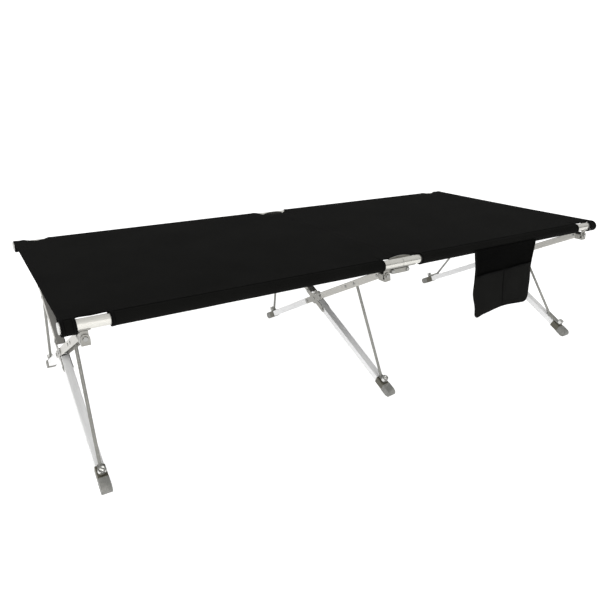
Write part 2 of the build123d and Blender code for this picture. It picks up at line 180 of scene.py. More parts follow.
edgeWearAndHighlight = group("edgeWearAndHighlight", [("Radius", numberSocket, 0.0008)],
                 [("Edge", numberSocket), ("Normal", vectorSocket)], buildEdgeWearAndHighlight)


drawnLook = {
    "squeeze": 0.985, "broadScale": 0.16, "cloudScale": 9.0, "scratchScale": 1.7, "scratchShift": (3.1, 1.7, 0.4),
    "scratchBand": (0.70, 0.76), "lineShare": 0.65, "broadShare": 0.35,
}


def buildDrawnGrain(tree, given):
    # fine lines along the way the metal was drawn, and a soft cloudiness
    at = here(tree)
    along = vectorSum(tree, "DOT_PRODUCT", at, given["Along"])
    taken = sums(tree, "MULTIPLY", along, drawnLook["squeeze"])
    squeezed = vectorSum(tree, "SUBTRACT", at, vectorSum(tree, "SCALE", given["Along"], scale=taken))
    lines = noiseAt(tree, squeezed, given["Scale"], 3.0, 0.6)
    broad = noiseAt(tree, squeezed, sums(tree, "MULTIPLY", given["Scale"], drawnLook["broadScale"]), 2.0)
    cloud = noiseAt(tree, at, drawnLook["cloudScale"], 3.0)
    shifted = vectorSum(tree, "ADD", squeezed, drawnLook["scratchShift"])
    fine = noiseAt(tree, shifted, sums(tree, "MULTIPLY", given["Scale"], drawnLook["scratchScale"]), 2.0)
    scratch = spread(tree, fine, *drawnLook["scratchBand"])
    grain = sums(tree, "ADD", sums(tree, "MULTIPLY", lines, drawnLook["lineShare"]),
                 sums(tree, "MULTIPLY", broad, drawnLook["broadShare"]))
    return {"Grain": grain, "Cloud": cloud, "Scratch": scratch}


drawnGrain = group("drawnGrain", [("Along", vectorSocket, (1, 0, 0)), ("Scale", numberSocket, 700.0)],
                   [("Grain", numberSocket), ("Cloud", numberSocket), ("Scratch", numberSocket)],
                   buildDrawnGrain)


def newMaterial(name):
    material = bpy.data.materials.new(name)
    material.use_nodes = True
    tree = material.node_tree
    tree.nodes.clear()
    shader = put(tree, "ShaderNodeBsdfPrincipled")
    put(tree, "ShaderNodeOutputMaterial", {"Surface": shader.outputs[0]})
    return material, tree, shader


def bumpInto(tree, shader, height, strength, distance, normal=None):
    inputs = {"Height": height, "Strength": strength, "Distance": distance}
    if normal is not None:
        inputs["Normal"] = normal
    tree.links.new(put(tree, "ShaderNodeBump", inputs).outputs["Normal"], shader.inputs["Normal"])


metalLook = {
    "tintBand": (0.35, 0.65), "noiseBand": (0.3, 0.7), "shinier": 0.05, "duller": 0.06, "cloudRough": (-0.03, 0.04),
    "bumpDepth": 0.0002,
}


def metal(name, look, along=(1, 0, 0)):
    # drawn, cast or plated metal, from one dictionary of values
    material, tree, shader = newMaterial(name)
    grain = place(tree, drawnGrain, Along=along, Scale=look["grainScale"])
    wearAndHighlight = place(tree, edgeWearAndHighlight, Radius=look["edgeRadius"])
    band = metalLook["noiseBand"]
    varied = mixColours(tree, spread(tree, grain["Grain"], *metalLook["tintBand"]), look["dark"], look["tint"])
    clouded = mixColours(tree, spread(tree, grain["Cloud"], *band, 0.0, look["clouding"]), varied, look["dark"])
    scored = mixColours(tree, sums(tree, "MULTIPLY", grain["Scratch"], look["scratches"]), clouded, look["bare"])
    # painted highlight and real wear: every edge is mixed towards the bare colour
    wornAndHighlit = mixColours(tree, sums(tree, "MULTIPLY", wearAndHighlight["Edge"], look["wearAndHighlight"]), scored, look["bare"])
    tree.links.new(wornAndHighlit, shader.inputs["Base Color"])
    shiny, dull = look["rough"] - metalLook["shinier"], look["rough"] + metalLook["duller"]
    rough = sums(tree, "ADD", spread(tree, grain["Grain"], *band, shiny, dull),
                 spread(tree, grain["Cloud"], *band, *metalLook["cloudRough"]))
    tree.links.new(rough, shader.inputs["Roughness"])
    shader.inputs["Metallic"].default_value = look["metallic"]
    bumpInto(tree, shader, grain["Grain"], look["bump"], metalLook["bumpDepth"], wearAndHighlight["Normal"])
    return material


mouldedLook = {
    "scuffScale": 60.0, "dustTint": (0.42, 0.41, 0.38), "pitTint": (0.02, 0.02, 0.02), "roughBand": (0.46, 0.64),
    "wearAndHighlightShare": 0.35, "plainBump": 0.25, "plainDepth": 0.0003, "ribBump": 0.6, "ribDepth": 0.0007,
    "ribBand": (-0.2, 0.5), "pitShare": 0.3,
}


def buildMoulded(tree, given):
    # the fine pitting of a plastic moulding, with dust where it settles
    at = here(tree)
    pits = noiseAt(tree, at, given["Pit Scale"], 4.0, 0.65)
    scuffs = spread(tree, noiseAt(tree, at, mouldedLook["scuffScale"], 4.0), 0.45, 0.75)
    dusty = mixColours(tree, sums(tree, "MULTIPLY", scuffs, given["Dust"]), given["Tint"], mouldedLook["dustTint"])
    return {"Color": mixColours(tree, spread(tree, pits, 0.3, 0.7, 0.0, 0.3), dusty, mouldedLook["pitTint"]),
            "Roughness": spread(tree, pits, 0.3, 0.7, *mouldedLook["roughBand"]), "Height": pits}


moulded = group("mouldedPlastic", [("Tint", colourSocket, (0.2, 0.2, 0.2, 1)), ("Pit Scale", numberSocket, 900.0),
                                   ("Dust", numberSocket, 0.2)],
                [("Color", colourSocket), ("Roughness", numberSocket), ("Height", numberSocket)],
                buildMoulded)


def plastic(name, look):
    # moulded plastic, with ribs along the piece where the look asks for them
    material, tree, shader = newMaterial(name)
    made = place(tree, moulded, Tint=look["tint"], **{"Pit Scale": look["pits"], "Dust": look["dust"]})
    wearAndHighlight = place(tree, edgeWearAndHighlight, Radius=look["edgeRadius"])
    # painted highlight and real rubbing: every edge is mixed towards a lighter colour
    rubbedAndHighlit = sums(tree, "MULTIPLY", wearAndHighlight["Edge"], mouldedLook["wearAndHighlightShare"])
    tree.links.new(mixColours(tree, rubbedAndHighlit, made["Color"], look["wornAndHighlit"]), shader.inputs["Base Color"])
    tree.links.new(made["Roughness"], shader.inputs["Roughness"])
    height, bump, depth = made["Height"], mouldedLook["plainBump"], mouldedLook["plainDepth"]
    if "ribs" in look:
        across = put(tree, "ShaderNodeSeparateXYZ", {0: here(tree)}).outputs[0]
        wave = sums(tree, "SINE", sums(tree, "MULTIPLY", across, 2 * math.pi / look["ribs"]))
        rib = spread(tree, wave, *mouldedLook["ribBand"])
        height = sums(tree, "ADD", sums(tree, "MULTIPLY", made["Height"], mouldedLook["pitShare"]), rib)
        bump, depth = mouldedLook["ribBump"], mouldedLook["ribDepth"]
    bumpInto(tree, shader, height, bump, depth, wearAndHighlight["Normal"])
    return material


wovenLook = {
    "overBand": (-0.12, 0.12), "slub": (35.0, 900.0, 1.0), "cloudScale": 5.0, "dustScale": 1500.0,
    "dustBand": (0.66, 0.74), "dustShare": 0.03, "dustTint": (0.12, 0.12, 0.11), "threadShare": 0.7, "slubShare": 0.3,
    "roughBand": (0.92, 0.76), "bumpDepth": 0.0004, "stitchRise": 1.2, "stitchHalf": 0.00045,
    "stitchEnds": (0.34, 0.40, 1.0, 0.0),
}


def buildWoven(tree, given):
    # plain weave: threads that pass over and under each other, from the cloth's own flat coordinates
    at = put(tree, "ShaderNodeAttribute", attribute_name="clothAt").outputs["Vector"]
    across = put(tree, "ShaderNodeSeparateXYZ", {0: vectorSum(tree, "SCALE", at, scale=given["Threads"])})
    u = sums(tree, "MULTIPLY", across.outputs[0], math.pi)
    v = sums(tree, "MULTIPLY", across.outputs[1], math.pi)
    su, sv = sums(tree, "SINE", u), sums(tree, "SINE", v)
    over = spread(tree, sums(tree, "MULTIPLY", su, sv), *wovenLook["overBand"])
    warp, weft = sums(tree, "ABSOLUTE", su), sums(tree, "ABSOLUTE", sv)
    height = sums(tree, "ADD", sums(tree, "MULTIPLY", warp, over),
                  sums(tree, "MULTIPLY", weft, sums(tree, "SUBTRACT", 1.0, over)))
    slub = noiseAt(tree, vectorSum(tree, "MULTIPLY", at, wovenLook["slub"]), 1.0, 2.0)
    cloud = noiseAt(tree, at, wovenLook["cloudScale"], 4.0)
    dust = spread(tree, noiseAt(tree, at, wovenLook["dustScale"], 2.0), *wovenLook["dustBand"])
    lit = sums(tree, "ADD", sums(tree, "MULTIPLY", height, wovenLook["threadShare"]),
               sums(tree, "MULTIPLY", slub, wovenLook["slubShare"]))
    shade = mixColours(tree, spread(tree, lit, 0.15, 0.95), given["Gap"], given["Tint"])
    faded = mixColours(tree, spread(tree, cloud, 0.35, 0.7, 0.0, given["Fading"]), shade, given["Faded"])
    dusted = mixColours(tree, sums(tree, "MULTIPLY", dust, wovenLook["dustShare"]), faded, wovenLook["dustTint"])
    return {"Color": dusted, "Roughness": spread(tree, lit, 0.1, 0.9, *wovenLook["roughBand"]), "Height": lit}


woven = group("wovenCloth", [("Threads", numberSocket, 1100.0), ("Tint", colourSocket, (0.02, 0.02, 0.02, 1)),
                             ("Gap", colourSocket, (0.005, 0.005, 0.005, 1)),
                             ("Faded", colourSocket, (0.03, 0.03, 0.03, 1)), ("Fading", numberSocket, 0.3)],
              [("Color", colourSocket), ("Roughness", numberSocket), ("Height", numberSocket)], buildWoven)


def buildStitches(tree, given):
    # a row of raised thread beside a line: Off is the distance from it and Along the place on it, in metres
    step = sums(tree, "FRACT", sums(tree, "DIVIDE", given["Along"], given["Step"]))
    ends = sums(tree, "ABSOLUTE", sums(tree, "SUBTRACT", step, 0.5))
    wide = sums(tree, "DIVIDE", sums(tree, "ABSOLUTE", given["Off"]), wovenLook["stitchHalf"])
    rise = sums(tree, "SUBTRACT", 1.0, sums(tree, "MULTIPLY", wide, wide), clamp=True)
    length = spread(tree, ends, *wovenLook["stitchEnds"])
    return {"Mask": sums(tree, "MULTIPLY", length, sums(tree, "POWER", rise, 0.5))}


stitches = group("stitches", [("Along", numberSocket, 0.0), ("Off", numberSocket, 1.0),
                              ("Step", numberSocket, 0.0034)],
                 [("Mask", numberSocket)], buildStitches)


def cloth(name, look):
    # woven cloth, with rows of stitches where the look lists them, by the flat coordinate across
    material, tree, shader = newMaterial(name)
    made = place(tree, woven, Threads=look["threads"], Tint=look["tint"], Gap=look["gap"], Faded=look["faded"],
                 Fading=look["fading"])
    colour, height = made["Color"], made["Height"]
    at = put(tree, "ShaderNodeAttribute", attribute_name="clothAt").outputs["Vector"]
    flat = put(tree, "ShaderNodeSeparateXYZ", {0: at})
    for row in look.get("rows", ()):
        sewn = place(tree, stitches, Along=flat.outputs[0], Off=sums(tree, "SUBTRACT", flat.outputs[1], row))
        colour = mixColours(tree, sewn["Mask"], colour, look["thread"])
        height = sums(tree, "ADD", height, sums(tree, "MULTIPLY", sewn["Mask"], wovenLook["stitchRise"]))
    tree.links.new(colour, shader.inputs["Base Color"])
    tree.links.new(made["Roughness"], shader.inputs["Roughness"])
    shader.inputs["Specular IOR Level"].default_value = look["shine"]
    shader.inputs["Sheen Weight"].default_value = look["sheen"]
    shader.inputs["Sheen Roughness"].default_value = 0.5
    bumpInto(tree, shader, height, look["bump"], wovenLook["bumpDepth"])
    return material, tree, shader


finishes = {
    "rail": {
        "tint": (0.74, 0.73, 0.685), "dark": (0.60, 0.59, 0.55), "bare": (0.95, 0.95, 0.94),
        "grainScale": 900.0, "edgeRadius": 0.0006, "clouding": 0.25, "scratches": 0.25, "wearAndHighlight": 0.5,
        "rough": 0.27, "metallic": 0.92, "bump": 0.12,
    },
    # the upper arms: a darker copy of the arms' aluminium, painted shade
    "upper": {
        "tint": (0.55, 0.54, 0.505), "dark": (0.45, 0.44, 0.41), "bare": (0.85, 0.85, 0.82),
        "grainScale": 800.0, "edgeRadius": 0.0010, "clouding": 0.25, "scratches": 0.25, "wearAndHighlight": 0.5,
        "rough": 0.42, "metallic": 0.6, "bump": 0.15,
    },
    # the lower arms: a lighter copy of the same aluminium, painted light
    "lower": {
        "tint": (0.93, 0.93, 0.93), "dark": (0.80, 0.80, 0.80), "bare": (0.95, 0.95, 0.94),
        "grainScale": 800.0, "edgeRadius": 0.0010, "clouding": 0.25, "scratches": 0.25, "wearAndHighlight": 0.4,
        "rough": 0.48, "metallic": 0.15, "bump": 0.15,
    },
    "bracket": {
        "tint": (0.36, 0.355, 0.33), "dark": (0.26, 0.255, 0.235), "bare": (0.88, 0.88, 0.86),
        "grainScale": 420.0, "edgeRadius": 0.0007, "clouding": 0.5, "scratches": 0.4, "wearAndHighlight": 0.7,
        "rough": 0.34, "metallic": 0.95, "bump": 0.2,
    },
    "bolt": {
        "tint": (0.40, 0.40, 0.385), "dark": (0.26, 0.26, 0.25), "bare": (0.9, 0.9, 0.88),
        "grainScale": 1200.0, "edgeRadius": 0.0005, "clouding": 0.5, "scratches": 0.3, "wearAndHighlight": 0.8,
        "rough": 0.26, "metallic": 1.0, "bump": 0.15,
    },
    "strut": {
        "tint": (0.34, 0.335, 0.31), "dark": (0.22, 0.22, 0.205), "bare": (0.6, 0.6, 0.58),
        "grainScale": 700.0, "edgeRadius": 0.0005, "clouding": 0.4, "scratches": 0.35, "wearAndHighlight": 0.5,
        "rough": 0.38, "metallic": 0.7, "bump": 0.12,
    },
    "collar": {
        "tint": (0.16, 0.15, 0.115), "dark": (0.08, 0.077, 0.06), "bare": (0.5, 0.48, 0.4),
        "grainScale": 500.0, "edgeRadius": 0.0012, "clouding": 0.5, "scratches": 0.3, "wearAndHighlight": 0.65,
        "rough": 0.42, "metallic": 0.55, "bump": 0.2,
    },
    "knob": {
        "tint": (0.78, 0.78, 0.76), "dark": (0.55, 0.55, 0.53), "bare": (0.95, 0.95, 0.93),
        "grainScale": 900.0, "edgeRadius": 0.0008, "clouding": 0.3, "scratches": 0.3, "wearAndHighlight": 0.7,
        "rough": 0.28, "metallic": 1.0, "bump": 0.15,
    },
    "shoe": {
        "tint": (0.215, 0.215, 0.20), "ribs": 0.0046, "pits": 700.0, "dust": 0.45, "edgeRadius": 0.0014,
        "wornAndHighlit": (0.5, 0.5, 0.47),
    },
    "plug": {
        "tint": (0.80, 0.80, 0.78), "pits": 900.0, "dust": 0.08, "edgeRadius": 0.0010,
        "wornAndHighlit": (0.9, 0.9, 0.88),
    },
    "bed": {
        "threads": 900.0, "tint": (0.0062, 0.0062, 0.0057), "gap": (0.0020, 0.0020, 0.0019),
        "faded": (0.0080, 0.0080, 0.0074), "fading": 0.5, "shine": 0.03, "sheen": 0.0, "bump": 0.5,
    },
    "tape": {
        "threads": 1500.0, "tint": (0.0040, 0.0040, 0.0038), "gap": (0.0012, 0.0012, 0.0012),
        "faded": (0.0055, 0.0055, 0.0052), "fading": 0.3, "shine": 0.04, "sheen": 0.0, "bump": 0.5,
    },
    "pocketCloth": {
        "threads": 1100.0, "tint": (0.0020, 0.0020, 0.0018), "gap": (0.0006, 0.0006, 0.0006),
        "faded": (0.0030, 0.0030, 0.0027), "fading": 0.4, "shine": 0.02, "sheen": 0.0, "bump": 0.5,
    },
    "pocketMesh": {
        "threads": 1100.0, "tint": (0.0100, 0.0100, 0.0094), "gap": (0.0035, 0.0035, 0.0032),
        "faded": (0.0125, 0.0125, 0.0117), "fading": 0.4, "shine": 0.03, "sheen": 0.0, "bump": 0.6,
    },
}


def dress(node, material):
    slots = nodes[node].data.materials
    for k in range(len(slots)):
        slots[k] = material
    if not slots:
        slots.append(material)


# metal and plastic of the frame
shared = {key: metal(key + "Metal", finishes[key]) for key in ("rail", "bracket", "bolt", "strut", "collar", "knob")}
shared["shoe"] = plastic("shoePlastic", finishes["shoe"])
shared["plug"] = plastic("plugPlastic", finishes["plug"])
wornBy = {
    "rail_": "rail", "end_plugs_": "plug", "leg_hangers_": "bracket", "centre_brackets_": "bracket",
    "centre_link_": "bracket", "link_bolts": "bolt", "link_nuts": "bolt", "joint_plates_": "bracket",
    "leg_rivets_": "bolt", "leg_struts_": "strut", "foot_shoes_": "shoe", "foot_collars_": "collar",
    "clamp_knobs_": "knob", "top_fittings_": "bracket", "pivot_pins_": "bolt",
}
armWidth = 0.024
for node in nodes:
    for start, finish in wornBy.items():
        if node.startswith(start):
            dress(node, shared[finish])
# each arm takes the upper or lower finish: painted shade on the upper arms, painted light on the lower arms
for node in nodes:
    if "_arm_" in node:  # the grain of each arm runs along it
        low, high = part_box(node)
        rise = (high.z - low.z) * (1 if ("far" in node) == ("upper" in node) else -1)
        lean = (high.x - low.x - armWidth) * (-1 if node.startswith("upper") else 1) if "middle" in node else 0.0
        dress(node, metal(node + "Metal", finishes[node[:5]], Vector((lean, high.y - low.y, rise)).normalized()))
print("frame finishes done")


def meshPiece(name, points, faces, flatAt=None, materials=()):
    mesh = bpy.data.meshes.new(name)
    mesh.from_pydata([tuple(p) for p in points], [], faces)
    if flatAt:
        stored = mesh.attributes.new("clothAt", "FLOAT_VECTOR", "POINT")
        stored.data.foreach_set("vector", [c for at in flatAt for c in (at[0], at[1], 0.0)])
    mesh.polygons.foreach_set("use_smooth", [True] * len(mesh.polygons))
    mesh.update()
    piece = bpy.data.objects.new(name, mesh)
    bpy.context.scene.collection.objects.link(piece)
    for material in materials:
        mesh.materials.append(material)
    return piece


def thicken(piece, thickness):
    layer = piece.modifiers.new("thickness", "SOLIDIFY")
    layer.thickness = thickness
    layer.offset = -1.0
    return piece


# the bed: one taut cloth, in two halves that meet over the centre joint
nearRail, farRail = boxCentre("rail_near_left"), boxCentre("rail_far_left")
railZ = nearRail.z
bed = {
    "thickness": 0.0010, "sleeveRadius": 0.0177, "seamInside": 0.032, "flapInside": 0.039,
    "sag": 0.0016, "seamDip": 0.00025,
    "topRows": (0.0025, 0.005, 0.0085, 0.013, 0.018, 0.024, 0.030, 0.032, 0.034, 0.042, 0.055, 0.075, 0.105, 0.15,
                0.21, 0.29, 0.36),
    "sleeveSlack": 0.0008, "loopSlack": 0.0030, "foldOver": 0.075,
    "endDip": 0.018, "centreDip": 0.026, "sleeveDip": 0.0035, "sleeveDipRun": 0.012,  # how far in each dip reaches
    "centreFade": 0.03, "endFade": 0.016, "insideFade": 0.02, "awayShare": 0.55, "insideShare": 0.45,
    "edgeLift": 0.0008, "edgeLiftTurn": 40, "narrowing": 0.42, "crownRun": 0.06, "liftRun": 0.016,
    "seamWide": 0.0016,
    "ripple": 0.00035, "rippleAlong": 3.1, "rippleAcross": 9.0, "rippleRun": 0.05,
    "wave": 0.0004, "waveAlong": 11.0, "waveRound": 60.0, "waveRun": 0.02,
    "seamGap": 0.0003, "flapDrop": 0.0001, "roundSteps": 26, "flatSteps": 6,
    "centreStep": 0.0038, "besideStep": 0.005, "longStep": 0.024, "cutStep": 0.0030, "loopStep": 0.0034,
    "besideCentre": 0.04, "besideEnd": 0.03, "near": 1e-6,
    "endCut": ((0, 0), (0.07, 22), (0.25, 36), (0.5, 44), (0.78, 36), (0.93, 18), (1, 0)),
    "nearCut": ((0, 0), (0.03, 12), (0.15, 40), (0.4, 70), (0.75, 74), (0.95, 45), (1, 0)),
    "farCut": ((0, 0), (0.05, 22), (0.2, 62), (0.45, 84), (0.8, 84), (0.93, 50), (1, 0)),
}
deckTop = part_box("canvas_deck_left")[1].z
breaks = sorted({round(abs(v.co.x), 4) for v in nodes["sleeve_near_left"].data.vertices})
sleeveFrom, sleeveTo, loopFrom, loopTo = breaks[0], breaks[1], breaks[2], breaks[3]
middleY = (nearRail.y + farRail.y) / 2
halfSpan = (farRail.y - nearRail.y) / 2
centreHalf = 0.3  # nearer the middle than this, a cut-out is the centre joint's


def evenly(start, end, step):
    count = max(1, round((end - start) / step))
    return [start + (end - start) * k / count for k in range(count)]


def edgeAngle(side, x):
    # how far down the inner side of the rail the free edge lies, in degrees, or None where there is a sleeve
    a = abs(x)
    if a < sleeveFrom - bed["near"]:
        return ramp(bed["nearCut"] if side < 0 else bed["farCut"], (x + sleeveFrom) / (2 * sleeveFrom))
    if sleeveTo + bed["near"] < a < loopFrom - bed["near"]:
        return ramp(bed["endCut"], (loopFrom - a) / (loopFrom - sleeveTo))
    return None


def dipNear(x):
    # how much the cloth dips beside a cut-out, from 0 to 1, fading into the sleeves
    a = abs(x)
    best = 0.0
    for start, end, reach in ((-1, sleeveFrom, bed["centreFade"]), (sleeveTo, loopFrom, bed["endFade"])):
        away = max(start - a, a - end, 0.0)
        inside = smooth(min(a - start, end - a) / bed["insideFade"]) if away == 0 else 0.0
        best = max(best, bed["awayShare"] * math.exp(-(away / reach) ** 2) + bed["insideShare"] * inside)
    return best


def deckPoint(side, x, inside):
    # a point of the bed's top face, by its distance in from the rail's centre; side is -1 near and 1 far
    railPlace = nearRail.y if side < 0 else farRail.y
    angle = edgeAngle(side, x)
    edge = bed["sleeveRadius"]
    if angle is not None:
        edge += bed["edgeLift"] * smooth(angle / bed["edgeLiftTurn"])
    turn = 0.0 if angle is None else math.radians(angle)
    edgeIn, edgeUp = edge * math.sin(turn), edge * math.cos(turn)
    at = edgeIn + inside * (1 - edgeIn / bed["narrowing"]) if inside > 0 else edgeIn
    level = deckTop - railZ
    crown = bed["sag"] * math.sin(min(1.0, at / (2 * halfSpan)) * math.pi)
    reach = bed["centreDip"] if abs(x) < centreHalf else bed["endDip"]
    if angle is None:
        lifted = (bed["sleeveRadius"] - level) * (1 - smooth(at / bed["liftRun"]))
        seam = bed["seamDip"] * math.exp(-((at - bed["seamInside"]) / bed["seamWide"]) ** 2)
        run = bed["sleeveDipRun"]
        depth = bed["sleeveDip"] * dipNear(x) * smooth(at / run) * math.exp(-max(0.0, at - run) / reach)
        up = level + lifted - crown - seam - depth
    else:
        depth = (level - edgeUp) * math.exp(-inside / reach)
        up = level - crown * smooth(inside / bed["crownRun"]) - depth
    sample = Vector((x * bed["rippleAlong"], at * bed["rippleAcross"], 2.0 + side))
    ripple = bed["ripple"] * noise.noise(sample) * smooth(at / bed["rippleRun"])
    return Vector((x, railPlace - side * at, railZ + up + ripple)), railPlace - side * at


def sleevePath(slack):
    # the sleeve's section: from the top outward, round below the rail and up to the seam; (inside, up, run along it)
    radius, path, run = bed["sleeveRadius"], [], 0.0
    seamUp = deckTop - railZ - 2 * bed["thickness"] - bed["seamGap"]
    reach = math.hypot(bed["seamInside"], seamUp)
    leave = 270 + math.degrees(math.atan2(seamUp, bed["seamInside"]) - math.acos(radius / reach))
    steps, flatSteps = bed["roundSteps"], bed["flatSteps"]
    for k in range(steps + 1):
        turn = math.radians(leave * k / steps)
        # the slack grows on the outer side and is mostly taken up again before the seam
        grown = radius + slack * smooth((turn - 0.6) / 1.6) * (1 - 0.7 * smooth((turn - 3.3) / 1.2))
        path.append((-grown * math.sin(turn), grown * math.cos(turn)))
    last = path[-1]
    for k in range(1, flatSteps + 1):
        path.append((last[0] + (bed["seamInside"] - last[0]) * k / flatSteps,
                     last[1] + (seamUp - last[1]) * k / flatSteps))
    path.append((bed["flapInside"], seamUp + bed["flapDrop"]))
    placed = []
    for k, (inside, up) in enumerate(path):
        if k:
            run += math.hypot(inside - path[k - 1][0], up - path[k - 1][1])
        placed.append((inside, up, run))
    return placed


def bedHalf(hand):
    # hand is -1 for the left half and 1 for the right half
    stations = []
    longFrom, longTo, beside = sleeveFrom + bed["besideCentre"], sleeveTo - bed["besideEnd"], bed["besideStep"]
    for start, end, step in ((0.0, sleeveFrom, bed["centreStep"]), (sleeveFrom, longFrom, beside),
                             (longFrom, longTo, bed["longStep"]), (longTo, sleeveTo, beside),
                             (sleeveTo, loopFrom, bed["cutStep"]), (loopFrom, loopTo, bed["loopStep"])):
        stations += evenly(start, end, step)
    stations.append(loopTo)
    points, flatAt, faces, deckRows = [], [], [], []
    insides = (0.0,) + bed["topRows"]

    def add(point, v):
        points.append(point)
        flatAt.append((point.x, v))
        return len(points) - 1

    for a in stations:
        x = hand * a
        nearPart = [add(*deckPoint(-1, x, i)) for i in insides]
        crown = add(Vector((x, middleY, deckTop - bed["sag"])), middleY)
        farPart = [add(*deckPoint(1, x, i)) for i in reversed(insides)]
        deckRows.append(nearPart + [crown] + farPart)
    for one, two in zip(deckRows, deckRows[1:]):
        for k in range(len(one) - 1):
            quad = (one[k], one[k + 1], two[k + 1], two[k])
            faces.append(quad if hand > 0 else quad[::-1])
    rings = []
    for side in (-1, 1):
        railPlace = nearRail.y if side < 0 else farRail.y
        column = 0 if side < 0 else -1
        for start, end, slack in ((sleeveFrom, sleeveTo, bed["sleeveSlack"]), (loopFrom, loopTo, bed["loopSlack"])):
            rows = []
            for row, a in zip(deckRows, stations):
                if start - bed["near"] <= a <= end + bed["near"]:
                    line = [row[column]]
                    for inside, up, run in sleevePath(slack)[1:]:
                        sample = Vector((a * bed["waveAlong"], run * bed["waveRound"], 5.0 + side))
                        wave = bed["wave"] * noise.noise(sample) * smooth(run / bed["waveRun"])
                        grown = 1 + wave / (math.hypot(inside, up) or 1.0)
                        at = Vector((hand * a, railPlace - side * inside * grown, railZ + up * grown))
                        line.append(add(at, railPlace + side * run))
                    rows.append(line)
            for one, two in zip(rows, rows[1:]):
                for k in range(len(one) - 1):
                    quad = (one[k], two[k], two[k + 1], one[k + 1])
                    faces.append(quad if (hand > 0) == (side > 0) else quad[::-1])
            rings += [(rows[0], rows[1], side), (rows[-1], rows[-2], side)]
    return points, flatAt, faces, deckRows, stations, rings


def tape(points, flatAt, faces, chain, look):
    # a folded binding round a cloth edge; chain is (edge point, a point further in, outward normal) along it
    wide, thick, over = look["width"], look["cloth"], look["tape"]
    nose = 0.0006  # where the tape starts to turn round the edge
    section = [(wide, over * 0.6), (wide * 0.5, over), (nose, over), (-over * 0.8, over * 0.2), (-over, -thick / 2),
               (-over * 0.8, -thick - over * 0.2), (nose, -thick - over), (wide * 0.5, -thick - over),
               (wide, -thick - over * 0.6), (wide, -thick), (0.0, -thick), (0.0, 0.0), (wide, 0.0)]
    rows, run = [], 0.0
    for k, (edge, inner, normal) in enumerate(chain):
        if k:
            run += (edge - chain[k - 1][0]).length
        inward = inner - edge
        inward = (inward - normal * inward.dot(normal)).normalized()
        row = []
        for n, (i, up) in enumerate(section):
            points.append(edge + inward * i + normal * up)
            flatAt.append((run, i + n * 0.0002))
            row.append(len(points) - 1)
        rows.append(row)
    count = len(section)
    for one, two in zip(rows, rows[1:]):
        for n in range(count):
            faces.append((one[n], one[(n + 1) % count], two[(n + 1) % count], two[n]))
    faces.append(tuple(reversed(rows[0])))
    faces.append(tuple(rows[-1]))


def fixNormals(piece):
    # faces of a closed shell all point outward
    shell = bmesh.new()
    shell.from_mesh(piece.data)
    bmesh.ops.recalc_face_normals(shell, faces=shell.faces)
    shell.to_mesh(piece.data)
    shell.free()


binding = {"width": 0.0085, "cloth": bed["thickness"], "tape": 0.0007, "stitchIn": 0.0055}
thread = {"bed": (0.014, 0.014, 0.013), "tape": (0.011, 0.011, 0.010), "secondRow": 0.0055}


def seamRows(inside):
    # the flat coordinate of a row of stitches this far in from the far and the near rail
    return [farRail.y - inside, nearRail.y + inside]


bedRows = seamRows(bed["seamInside"]) + seamRows(bed["seamInside"] + thread["secondRow"])
bedMaterial = cloth("bedCloth", {**finishes["bed"], "rows": bedRows, "thread": thread["bed"]})[0]
tapeMaterial = cloth("edgeTape", {**finishes["tape"], "rows": [binding["stitchIn"]], "thread": thread["tape"]})[0]


def edgeNormal(at, along, inner):
    normal = (along - at).cross(inner - at).normalized()
    return normal if normal.z > 0 else -normal


def makeBedHalf(label, hand):
    points, flatAt, faces, deckRows, stations, rings = bedHalf(hand)
    sheet = thicken(meshPiece("canvas" + label, points, faces, flatAt, materials=[bedMaterial]), bed["thickness"])
    tapePoints, tapeAt, tapeFaces = [], [], []
    for column, inner in ((0, 2), (-1, -3)):  # free edges beside the bare stretches of rail
        for start, end in ((0.0, sleeveFrom), (sleeveTo, loopFrom)):
            chain = []
            for k in [k for k, a in enumerate(stations) if start - bed["near"] <= a <= end + bed["near"]]:
                other = deckRows[k + 1 if k + 1 < len(deckRows) else k - 1]
                at, within = points[deckRows[k][column]], points[deckRows[k][inner]]
                chain.append((at, within, edgeNormal(at, points[other[column]], within)))
            tape(tapePoints, tapeAt, tapeFaces, chain, binding)
    flatPart = bed["flatSteps"] + 2  # the last points of a ring, which lie against the bed
    for ring, inner, side in rings:  # the ends of the sleeves and loops
        railPlace = nearRail.y if side < 0 else farRail.y
        chain = []
        for n, (at, within) in enumerate(zip(ring, inner)):
            ahead, behind = points[ring[min(n + 1, len(ring) - 1)]], points[ring[max(n - 1, 0)]]
            along = (ahead - behind).normalized()
            normal = along.cross(Vector((1, 0, 0)))
            outward = points[at] - Vector((points[at].x, railPlace, railZ))
            wrongWay = normal.z > 0 if n >= len(ring) - flatPart else normal.dot(outward) < 0
            if wrongWay:
                normal = -normal
            chain.append((points[at], points[within], normal))
        tape(tapePoints, tapeAt, tapeFaces, chain, binding)
    chain = [(points[a], points[b], Vector((0, 0, 1))) for a, b in zip(deckRows[-1], deckRows[-2])]  # the bed's end
    tape(tapePoints, tapeAt, tapeFaces, chain, binding)
    edging = meshPiece("canvasBinding" + label, tapePoints, tapeFaces, tapeAt, materials=[tapeMaterial])
    fixNormals(edging)
    for piece, slot in ((sheet, "bed_cloth"), (edging, "bed_cloth")):
        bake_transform(piece)
    half = label.lower()
    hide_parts("canvas_deck_" + half, "sleeve_near_" + half, "sleeve_far_" + half)
    width = 2 * (halfSpan + sleevePath(0.0)[-1][2])


makeBedHalf("Left", -1)
makeBedHalf("Right", 1)
print("bed cloth done")

